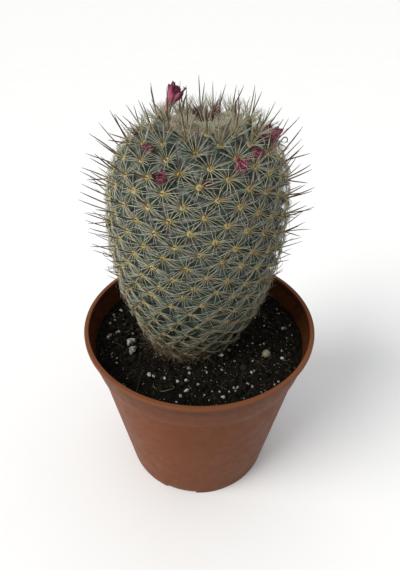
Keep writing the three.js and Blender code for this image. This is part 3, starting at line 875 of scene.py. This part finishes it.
# ---- Areoles and wool ----
# A cushion's outline as (radius, height), from its sunk middle to its foot.
AREOLE_RINGS = np.array([(0.0, 0.42), (0.28, 0.44), (0.62, 0.62), (0.98, 0.50), (1.18, 0.12), (1.1, -0.5)])
AREOLE_SPOKES = 9
AXIL_TRIES = 60000
AXIL_HAIRS = 8500
AXIL_REACH = 0.60
CROWN_HAIRS = 6500
CROWN_WOOL_REACH = 14.0


def areoles():
    """A felted cushion with a sunk middle on every tubercle."""
    rings, spokes = len(AREOLE_RINGS), AREOLE_SPOKES
    angle = turns(spokes)
    count = len(TIPS["k"])
    scale = mix(0.5, 0.9, TIPS["size"]) * RNG.uniform(0.85, 1.15, count)
    rough = 1 + 0.12 * RNG.normal(size=(count, rings, spokes)).clip(-1.5, 1.5)
    radius = AREOLE_RINGS[:, 0][None, :, None] * rough * scale[:, None, None]
    lift = AREOLE_RINGS[:, 1][None, :, None] * rough * scale[:, None, None]
    side, up, normal = (TIPS[key][:, None, None] for key in ("side", "up", "normal"))
    spread = side * np.cos(angle)[:, None] + up * np.sin(angle)[:, None]
    verts = TIPS["place"][:, None, None] + spread * radius[..., None] + normal * lift[..., None]
    verts[:, 0] = verts[:, 0].mean(1, keepdims=True) + spread[:, 0] * 0.02
    start = (np.arange(count) * rings * spokes)[:, None, None]
    sides = (ring_faces(rings, spokes)[None] + start).reshape(-1, 4)
    ends = np.stack([np.arange(spokes)[::-1], (rings - 1) * spokes + np.arange(spokes)])
    faces = [sides, (ends[None] + start).reshape(-1, spokes)]
    shares = AREOLE_RINGS[:, 0] / AREOLE_RINGS[:, 0].max()
    young = 1 - smoothstep(0.5, 0.74, TIPS["size"])
    shades = {
        "young": np.repeat(young, rings * spokes),
        "along": np.tile(np.repeat(shares, spokes), count),
        "level": np.repeat(TIPS["level"], rings * spokes),
    }
    piece = mesh_piece("areoles", verts.reshape(-1, 3), faces, areole_material(), attributes=shades)
    return settle(piece, "cactus_skin")


def strands(name, foot, heading, length, thick, tone, material, slot, curl, stations=4):
    """Fine curled hairs as one piece."""
    drift = RNG.normal(size=foot.shape) * curl
    steps = []
    for i in range(1, stations):
        steps.append(heading + drift * i / stations + RNG.normal(size=foot.shape) * curl * 0.4)
    radii = thick[:, None] * np.linspace(1, 0.35, stations)
    return tube_piece(name, paths_along(foot, steps, length), radii, 3, material, slot, tone=tone)


def axil_wool(material):
    """Grey wool in patches, in the axils of the upper half."""
    length = AXIL_REACH * LENGTH_TO[-1] * np.sqrt(RNG.uniform(0.004, 1, AXIL_TRIES))
    angle = RNG.uniform(0, 2 * np.pi, AXIL_TRIES)
    place, normal, _, height = stem_point(length, angle)
    level = height / STEM_HEIGHT
    depth, groove = flesh_depth(place, level)
    patchy = 0.5 + 0.5 * wobble(place, 9.0, 2)
    chance = smoothstep(0.66, 0.9, groove) * smoothstep(0.45, 0.75, level) * smoothstep(0.42, 0.62, patchy)
    keep = RNG.uniform(size=AXIL_TRIES) < chance
    foot = (place - normal * (depth - 0.1)[:, None])[keep][:AXIL_HAIRS]
    heading = unit(normal[keep][:AXIL_HAIRS] + RNG.normal(size=foot.shape) * 0.55)
    count = len(foot)
    tone = np.clip(RNG.normal(size=count) * 0.2 + 0.4, 0, 1)
    long = RNG.uniform(2.2, 4.6, count)
    thick = RNG.uniform(0.05, 0.085, count)
    strands("axil_wool", foot, heading, long, thick, tone, material, "cactus_skin", 0.9)


def crown_wool(material):
    """Pale wool over the growing point."""
    length = CROWN_WOOL_REACH * np.sqrt(RNG.uniform(0, 1, CROWN_HAIRS))
    angle = RNG.uniform(0, 2 * np.pi, CROWN_HAIRS)
    place, normal, up, height = stem_point(length, angle)
    depth, _ = flesh_depth(place, height / STEM_HEIGHT)
    foot = place - normal * depth[:, None]
    heading = unit(normal + up * 0.2 + RNG.normal(size=foot.shape) * 0.5)
    long = RNG.uniform(1.0, 2.6, CROWN_HAIRS)
    thick = RNG.uniform(0.06, 0.1, CROWN_HAIRS)
    tone = np.clip(RNG.normal(size=CROWN_HAIRS) * 0.12 + 0.95, 0, 1)
    strands("crown_wool", foot, heading, long, thick, tone, material, "cactus_skin", 0.8)


def wool():
    """Both kinds of wool, in one material."""
    material = wool_material()
    axil_wool(material)
    crown_wool(material)


# ---- Flowers ----
# For each flower: the radius of its mouth, how far its petals close again, and how far the mouth leans away
# from the CAD flower's. Then how dry each of the seven remains has become.
MOUTHS = {"flower_left": 3.5, "flower_right": 4.3}
CLOSED = {"flower_left": 0.15, "flower_right": -0.1}
MOUTH_SHIFT = {"flower_left": np.zeros(3), "flower_right": np.array([-2.2, 0.0, -0.9])}
DRYNESS = [0.7, 0.0, 0.25, 0.85, 0.45, 1.0, 1.0]
FLOWER_PETALS = 13
FLOWER_TUBE = 1.15
FLOWER_SEED = 40
REMAINS_PETALS = 11
REMAINS_SEED = 60
TUBE_ROWS = 10
TUBE_RIBS = 22
PETAL_ROWS = 9
PETAL_COLUMNS = 7
STYLE_RADIUS = 0.24
STYLE_STATIONS = 20
STYLE_ROUTE = [
    (1.2, 0.8, 4.0), (2.2, 1.2, 5.6), (3.2, 1.5, 6.6), (4.2, 1.7, 6.3), (4.5, 1.7, 5.2), (3.7, 1.5, 4.7),
]


def node_points(name):
    """A CAD node's vertices."""
    return np.array([v.co[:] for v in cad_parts[name].data.vertices]) / MM


def flower_line(name):
    """The foot of a CAD flower and the middle of its mouth."""
    points = node_points(name)
    foot = points[points[:, 2].argmin()]
    along = (points - foot) @ unit(points.mean(0) - foot)
    return foot, points[along > 0.9 * along.max()].mean(0)


def outward_at(point):
    """The stem's outward direction at its nearest areoles."""
    near = np.argsort(np.linalg.norm(TIPS["place"] - point, axis=1))[:3]
    return unit(TIPS["normal"][near].sum(0))


class Bloom:
    """A withered flower: a ribbed tube that opens into narrow crumpled petals."""

    def __init__(self, foot, axis, length, tube, mouth, petals, seed, tube_share, closed, dry=0.0):
        self.rng = np.random.default_rng(seed)
        self.foot = foot
        self.axis = unit(np.array(axis, float))
        self.side = unit(np.cross(self.axis, [0.3, 1.0, 0.1]))
        self.front = np.cross(self.axis, self.side)
        self.length = length
        self.tube = tube
        self.mouth = mouth
        self.tube_share = tube_share
        self.closed = closed
        self.dry = dry
        self.sheets = []
        self.add_tube()
        for n in range(petals):
            self.add_petal(2 * np.pi * (n / petals), n % 2)

    def add(self, grid, share, closed_ring, dryness):
        """Takes up a grid of points as a sheet of quads."""
        rows, columns = grid.shape[:2]
        start = sum(len(sheet[0]) for sheet in self.sheets)
        quads = ring_faces(rows, columns, closed_ring) + start
        tone = np.full(rows * columns, dryness)
        self.sheets.append((grid.reshape(-1, 3), quads, np.repeat(share, columns), tone))

    def add_tube(self):
        t = np.linspace(0, 1, TUBE_ROWS)
        turn = turns(TUBE_RIBS)
        bulge = self.tube * (0.75 + 0.35 * np.sin(np.pi * np.minimum(t * 1.1, 1)) + 0.25 * t)
        uneven = 0.06 * self.rng.normal(size=(TUBE_ROWS, TUBE_RIBS))
        ring = bulge[:, None] * (1 + 0.10 * np.cos(turn * 7 + 0.8) + uneven)
        rise = (t * self.tube_share * self.length)[:, None, None]
        spokes = self.side * np.cos(turn)[:, None] + self.front * np.sin(turn)[:, None]
        grid = self.foot + self.axis * rise + spokes * ring[..., None]
        self.add(grid, t * self.tube_share, True, self.dry)

    def add_petal(self, turn, inner):
        """One petal, u from foot to tip and v across. The inner ones are a little smaller."""
        rng, mouth = self.rng, self.mouth
        turn += rng.normal() * 0.16
        out = self.side * math.cos(turn) + self.front * math.sin(turn)
        sideways = np.cross(self.axis, out)
        reach = self.length * rng.uniform(0.86, 1.04) * (0.95 if inner else 1.0)
        u = np.linspace(0, 1, PETAL_ROWS)[:, None]
        v = np.linspace(-1, 1, PETAL_COLUMNS)[None]
        wide = mouth * (0.62 - 0.1 * inner) * np.sin(np.pi * (0.18 + 0.78 * u)) ** 0.7
        flare = mix(1.0, 1 - self.closed, u) * mouth * (0.72 if inner else 1.0) * (1 + 0.25 * rng.normal())
        radius = mix(self.tube * 0.95, flare, smoothstep(0.0, 0.9, u))
        fold = (0.55 + 0.35 * rng.uniform()) * wide * v**2
        crumple = 0.16 * mouth * np.sin(5 * u + 3 * v + 6 * rng.uniform()) * u
        crumple = crumple + 0.09 * rng.normal(size=(PETAL_ROWS, PETAL_COLUMNS)) * u
        low = self.tube_share * self.length * 0.9
        rise = low + u * (reach - low) + 0 * v
        twist = (0.25 * rng.normal() + 0.2) * u * wide
        grid = self.foot + self.axis * rise[..., None] + out * (radius - fold + crumple)[..., None]
        grid = grid + sideways * (wide * v * (0.9 - 0.25 * u) + twist)[..., None]
        share = self.tube_share + (1 - self.tube_share) * u[:, 0]
        self.add(grid, share, False, np.clip(self.dry + rng.normal() * 0.12, 0, 1))

    def piece(self, name, node, thickness, material, low=0.0, high=1.0):
        """The flower as one settled piece, with its colours from this span of the petals' ramp."""
        verts, quads, along, tone = (np.concatenate(part) for part in zip(*self.sheets))
        shades = {"along": mix(low, high, along), "tone": tone}
        made = mesh_piece(name, verts, [quads], material, attributes=shades)
        thicken(made, thickness)
        return settle(made, "dry_petals", node)


def thicken(piece, thickness):
    """Gives thin petals real thickness."""
    shell = piece.modifiers.new("thickness", "SOLIDIFY")
    shell.thickness = thickness * MM
    shell.offset = 0
    bpy.context.view_layer.objects.active = piece
    bpy.ops.object.modifier_apply(modifier="thickness")


def flowers():
    """The two flowers, and the remains between the tubercles."""
    material = petal_material()
    for number, (name, mouth) in enumerate(MOUTHS.items()):
        foot, top = flower_line(name)
        axis = top - foot + MOUTH_SHIFT[name]
        bloom = Bloom(
            foot, axis, 1.07 * np.linalg.norm(axis), FLOWER_TUBE, mouth, FLOWER_PETALS, FLOWER_SEED + number,
            tube_share=0.6, closed=CLOSED[name],
        )
        bloom.piece(f"{name}_petals", name, 0.16, material)
    for number, dryness in enumerate(DRYNESS):
        name = f"withered_flower_{number + 1}"
        points = node_points(name)
        middle = points.mean(0)
        radius = np.linalg.norm(points - middle, axis=1).max()
        axis = unit(outward_at(middle) + [0, 0, 0.35])
        bloom = Bloom(
            middle - axis * 0.6 * radius, axis, 2.9 * radius, 0.4 * radius, 1.35 * radius, REMAINS_PETALS,
            REMAINS_SEED + number, tube_share=0.35, closed=0.2, dry=dryness,
        )
        bloom.piece(f"withered_petals_{number + 1}", name, 0.14, material, 0.42, 0.92)
    dry_style()


def dry_style():
    """The dark dried style that curls out beside the right-hand flower."""
    foot, _ = flower_line("flower_right")
    route = catmull_rom([foot + np.array(step) for step in STYLE_ROUTE], STYLE_STATIONS)
    radii = STYLE_RADIUS * np.linspace(1, 0.7, STYLE_STATIONS)
    tone = np.array([0.05])
    tube_piece("dry_style", route[None], radii[None], 7, fibre_material(), "dry_petals", tone=tone)


# ---- Soil and what lies on it ----
HEAP_HEIGHT = 4.5
HEAP_X = 5.0
HEAP_Y = -15.0
HEAP_WIDE = 7.0
HEAP_DEEP = 4.4
DUST_COUNT = 620
# Loose peat: name, count, least and greatest size, and fineness of the mesh.
CRUMBS = [("peat_crumbs", 800, 0.5, 1.5, 2), ("peat_grit", 7500, 0.18, 0.6, 1)]
ROOTLET_COUNT = 150
DRIED_COUNT = 900
# The CAD's own places on the soil: share of its radius, degrees, and radius of the piece.
GRAINS = [
    (0.886, -174, 1.0), (0.793, -179, 0.9), (0.862, -151, 0.9), (0.711, -128, 1.1), (0.668, -117, 1.0),
    (0.728, -98, 1.1), (0.812, -75, 1.0), (0.693, -48, 1.1), (0.836, -23, 1.1), (0.837, 5, 1.0),
    (0.884, 159, 1.0), (0.831, 42, 1.1), (0.884, 118, 1.0), (0.86, 79, 1.1),
]
LUMPS = [(0.672, -167, 2.3), (0.685, -158, 1.9)]
PRILL = (0.691, -25, 1.9)
FIBRE = (0.776, -112, 0.35)
FIBRE_ROUTE = [(-5, 2, 0), (-2, -1, 0.3), (1.5, -1.5, 1.6), (4, 0.5, 0.8), (2.5, 3, 0)]
FIBRE_STATIONS = 24
LUMP_TONES = [0.62, 0.28]
GRAIN_RIPPLE = 0.5
LUMP_RIPPLE = 1.36364


def soil_level(x, y):
    """The gently uneven soil, heaped a little against the front right of the stem."""
    heap = HEAP_HEIGHT * np.exp(-(((x - HEAP_X) / HEAP_WIDE) ** 2) - ((y - HEAP_Y) / HEAP_DEEP) ** 2)
    return SOIL_Z + SOIL_SWELL * (np.sin(x / 7 + 1.3) * np.cos(y / 9 - 0.4) - 0.5) + heap


def soil_body():
    """The peat, rough on top and smooth below, down to the pot's floor."""
    columns = 360
    radius = np.linspace(0.5, 1, 110) ** 0.8 * SOIL_RADIUS
    angle = turns(columns)
    r, a = np.meshgrid(radius, angle, indexing="ij")
    x, y = r * np.cos(a), r * np.sin(a)
    points = np.stack([x, y, soil_level(x, y)], -1).reshape(-1, 3)
    edge = smoothstep(SOIL_RADIUS, SOIL_RADIUS - 3, np.hypot(points[:, 0], points[:, 1]))
    points[:, 2] += (0.75 * wobble(points, 4.0, 4) + 0.35 * wobble(points + 50, 1.1, 3)) * mix(0.5, 1, edge)
    floor_z = FOOT_HEIGHT + FLOOR_THICKNESS + 0.3
    wall = pot_wall_radius(floor_z) - POT_WALL - 0.8
    verts = np.concatenate([points, around(angle) * wall + [0, 0, floor_z]])
    rows = len(radius)
    faces = ring_faces(rows + 1, columns)
    ends = [np.arange(columns)[None, ::-1], rows * columns + np.arange(columns)[None]]
    tone = 0.25 * np.clip(RNG.normal(size=len(verts)), 0, 1)
    piece = mesh_piece("peat_bed", verts, [faces, *ends], soil_material(), attributes={"tone": tone})
    return settle(piece, "peat", "potting_soil")


def on_soil(count, inner=0.0):
    """Random places on the soil between the stem and the pot's wall."""
    x, y = RNG.uniform(-1, 1, (2, count * 4)) * SOIL_RADIUS
    keep = (np.hypot(x, y) < SOIL_RADIUS - 0.8) & (np.hypot(x - STEM_X, y - STEM_Y) > NECK_RADIUS - 3 + inner)
    x, y = x[keep][:count], y[keep][:count]
    return np.stack([x, y, soil_level(x, y)], -1)


def crumbs():
    """Loose peat: a few coarse crumbs and many fine ones."""
    material = soil_material()
    for name, count, low, high, fine in CRUMBS:
        centres = on_soil(count)
        sizes = RNG.uniform(0, 1, len(centres)) ** 2 * (high - low) + low
        centres[:, 2] += sizes * 0.25 + 0.15
        verts, faces = lumps(centres, sizes, fine, 0.16)
        tone = np.repeat(RNG.uniform(0, 1, len(centres)) ** 3, len(verts) // len(centres))
        piece = mesh_piece(name, verts, faces, material, smooth=False, attributes={"tone": tone})
        settle(piece, "peat")


def soil_place(share, degrees):
    """A place on the soil, by its share of the soil's radius and its direction."""
    x = share * SOIL_RADIUS * math.cos(math.radians(degrees))
    y = share * SOIL_RADIUS * math.sin(math.radians(degrees))
    return np.array([x, y, soil_level(x, y)])


def grain(name, node, spot, shrink, material, tone, fineness, ripple):
    """One lump of perlite, in place of its CAD node."""
    share, degrees, radius = spot
    place = soil_place(share, degrees) + [0, 0, 0.5 * radius]
    radius = radius * shrink
    verts, faces = lumps(place[None], np.array([radius]), fineness, 0.02)
    swell = 1 + ripple * wobble(verts - place + 40 * place[0], radius * 0.9, 3)
    verts = place + (verts - place) * swell[:, None]
    shades = {"tone": np.full(len(verts), tone)}
    return settle(mesh_piece(name, verts, faces, material, attributes=shades), "perlite", node)


def perlite_dust(material):
    """The finest perlite, strewn over the peat."""
    centres = on_soil(DUST_COUNT, inner=1.0)
    sizes = RNG.uniform(0, 1, len(centres)) ** 4 * 0.6 + 0.13
    centres[:, 2] += 0.35 + sizes * 0.4
    verts, faces = lumps(centres, sizes, 2, 0.13, 0.9)
    tone = np.repeat(RNG.uniform(0.0, 0.8, len(centres)), len(verts) // len(centres))
    piece = mesh_piece("perlite_dust", verts, faces, material, smooth=False, attributes={"tone": tone})
    settle(piece, "perlite")


def prill():
    """The round coated fertiliser grain."""
    share, degrees, radius = PRILL
    place = soil_place(share, degrees) + [0, 0, 0.75 * radius]
    verts, faces = ball(4)
    verts = place + verts * radius * (1 + 0.03 * wobble(verts * 3, 1.0, 2))[:, None] * [1, 1, 0.93]
    piece = mesh_piece("fertiliser_bead", verts, [faces], prill_material())
    settle(piece, "fertiliser", "fertiliser_prill")


def grains():
    """The perlite and the fertiliser grain."""
    material = perlite_material()
    for i, spot in enumerate(GRAINS, 1):
        grain(f"perlite_{i}", f"perlite_grain_{i}", spot, 0.8, material, 0.8, 3, GRAIN_RIPPLE)
    for i, (spot, tone) in enumerate(zip(LUMPS, LUMP_TONES), 1):
        grain(f"pale_lump_{i}", f"perlite_lump_{i}", spot, 0.82, material, tone, 4, LUMP_RIPPLE)
    perlite_dust(material)
    prill()


def curled_root(material):
    """The thin dry root that lies curled near the front."""
    share, degrees, radius = FIBRE
    place = soil_place(share, degrees)
    route = catmull_rom([place + [dx, dy, lift + 0.5] for dx, dy, lift in FIBRE_ROUTE], FIBRE_STATIONS)
    radii = radius * 0.6 * np.linspace(1, 0.5, FIBRE_STATIONS)
    tone = np.array([0.4])
    tube_piece("curled_root", route[None], radii[None], 8, material, "dry_root", "root_fibre", tone=tone)


def rootlets(material):
    """Fine dry roots that lie nearly flat."""
    foot = on_soil(ROOTLET_COUNT)
    foot[:, 2] += 0.5
    heading = unit(RNG.normal(size=foot.shape) * [1, 1, 0.08])
    long = RNG.uniform(2, 8, len(foot))
    thick = RNG.uniform(0.05, 0.12, len(foot))
    tone = RNG.uniform(0, 0.8, len(foot))
    strands("rootlets", foot, heading, long, thick, tone, material, "dry_root", 0.35, 7)


def dried_spines(material):
    """The tangle of dead spines round the stem's foot, thickest at the front left."""
    count = DRIED_COUNT
    front_left = RNG.uniform(size=count) < 0.85
    angle = np.where(front_left, RNG.normal(size=count) * 0.42 - 2.15, RNG.uniform(0, 2 * np.pi, count))
    height = RNG.uniform(0, 1, count) ** 1.6 * 8 - 0.5
    radius = NECK_RADIUS - 1.2 + 0.28 * height + RNG.uniform(-1.5, 2.4, count)
    out = around(angle)
    foot = np.array([STEM_X, STEM_Y, SOIL_Z]) + out * radius[:, None] + [0, 0, 1] * height[:, None]
    slant = np.cross([0, 0, 1], out) * RNG.normal(size=(count, 1)) * 1.3
    heading = out * RNG.uniform(-0.1, 0.8, (count, 1)) + slant + [0, 0, -0.25]
    heading[:, 2] += RNG.normal(size=count) * 0.25
    long = RNG.uniform(2.0, 8.0, count)
    thick = RNG.uniform(0.06, 0.13, count)
    tone = RNG.uniform(0, 0.7, count)
    strands("dried_spines", foot, unit(heading), long, thick, tone, material, "dry_root", 0.3, 5)


def fibres():
    """Everything thin and dry that lies on the soil."""
    material = fibre_material()
    curled_root(material)
    rootlets(material)
    dried_spines(material)


camera()
studio()
pot()
stem()
radial_spines()
central_spines()
crown_tuft()
areoles()
wool()
flowers()
soil_body()
crumbs()
grains()
fibres()
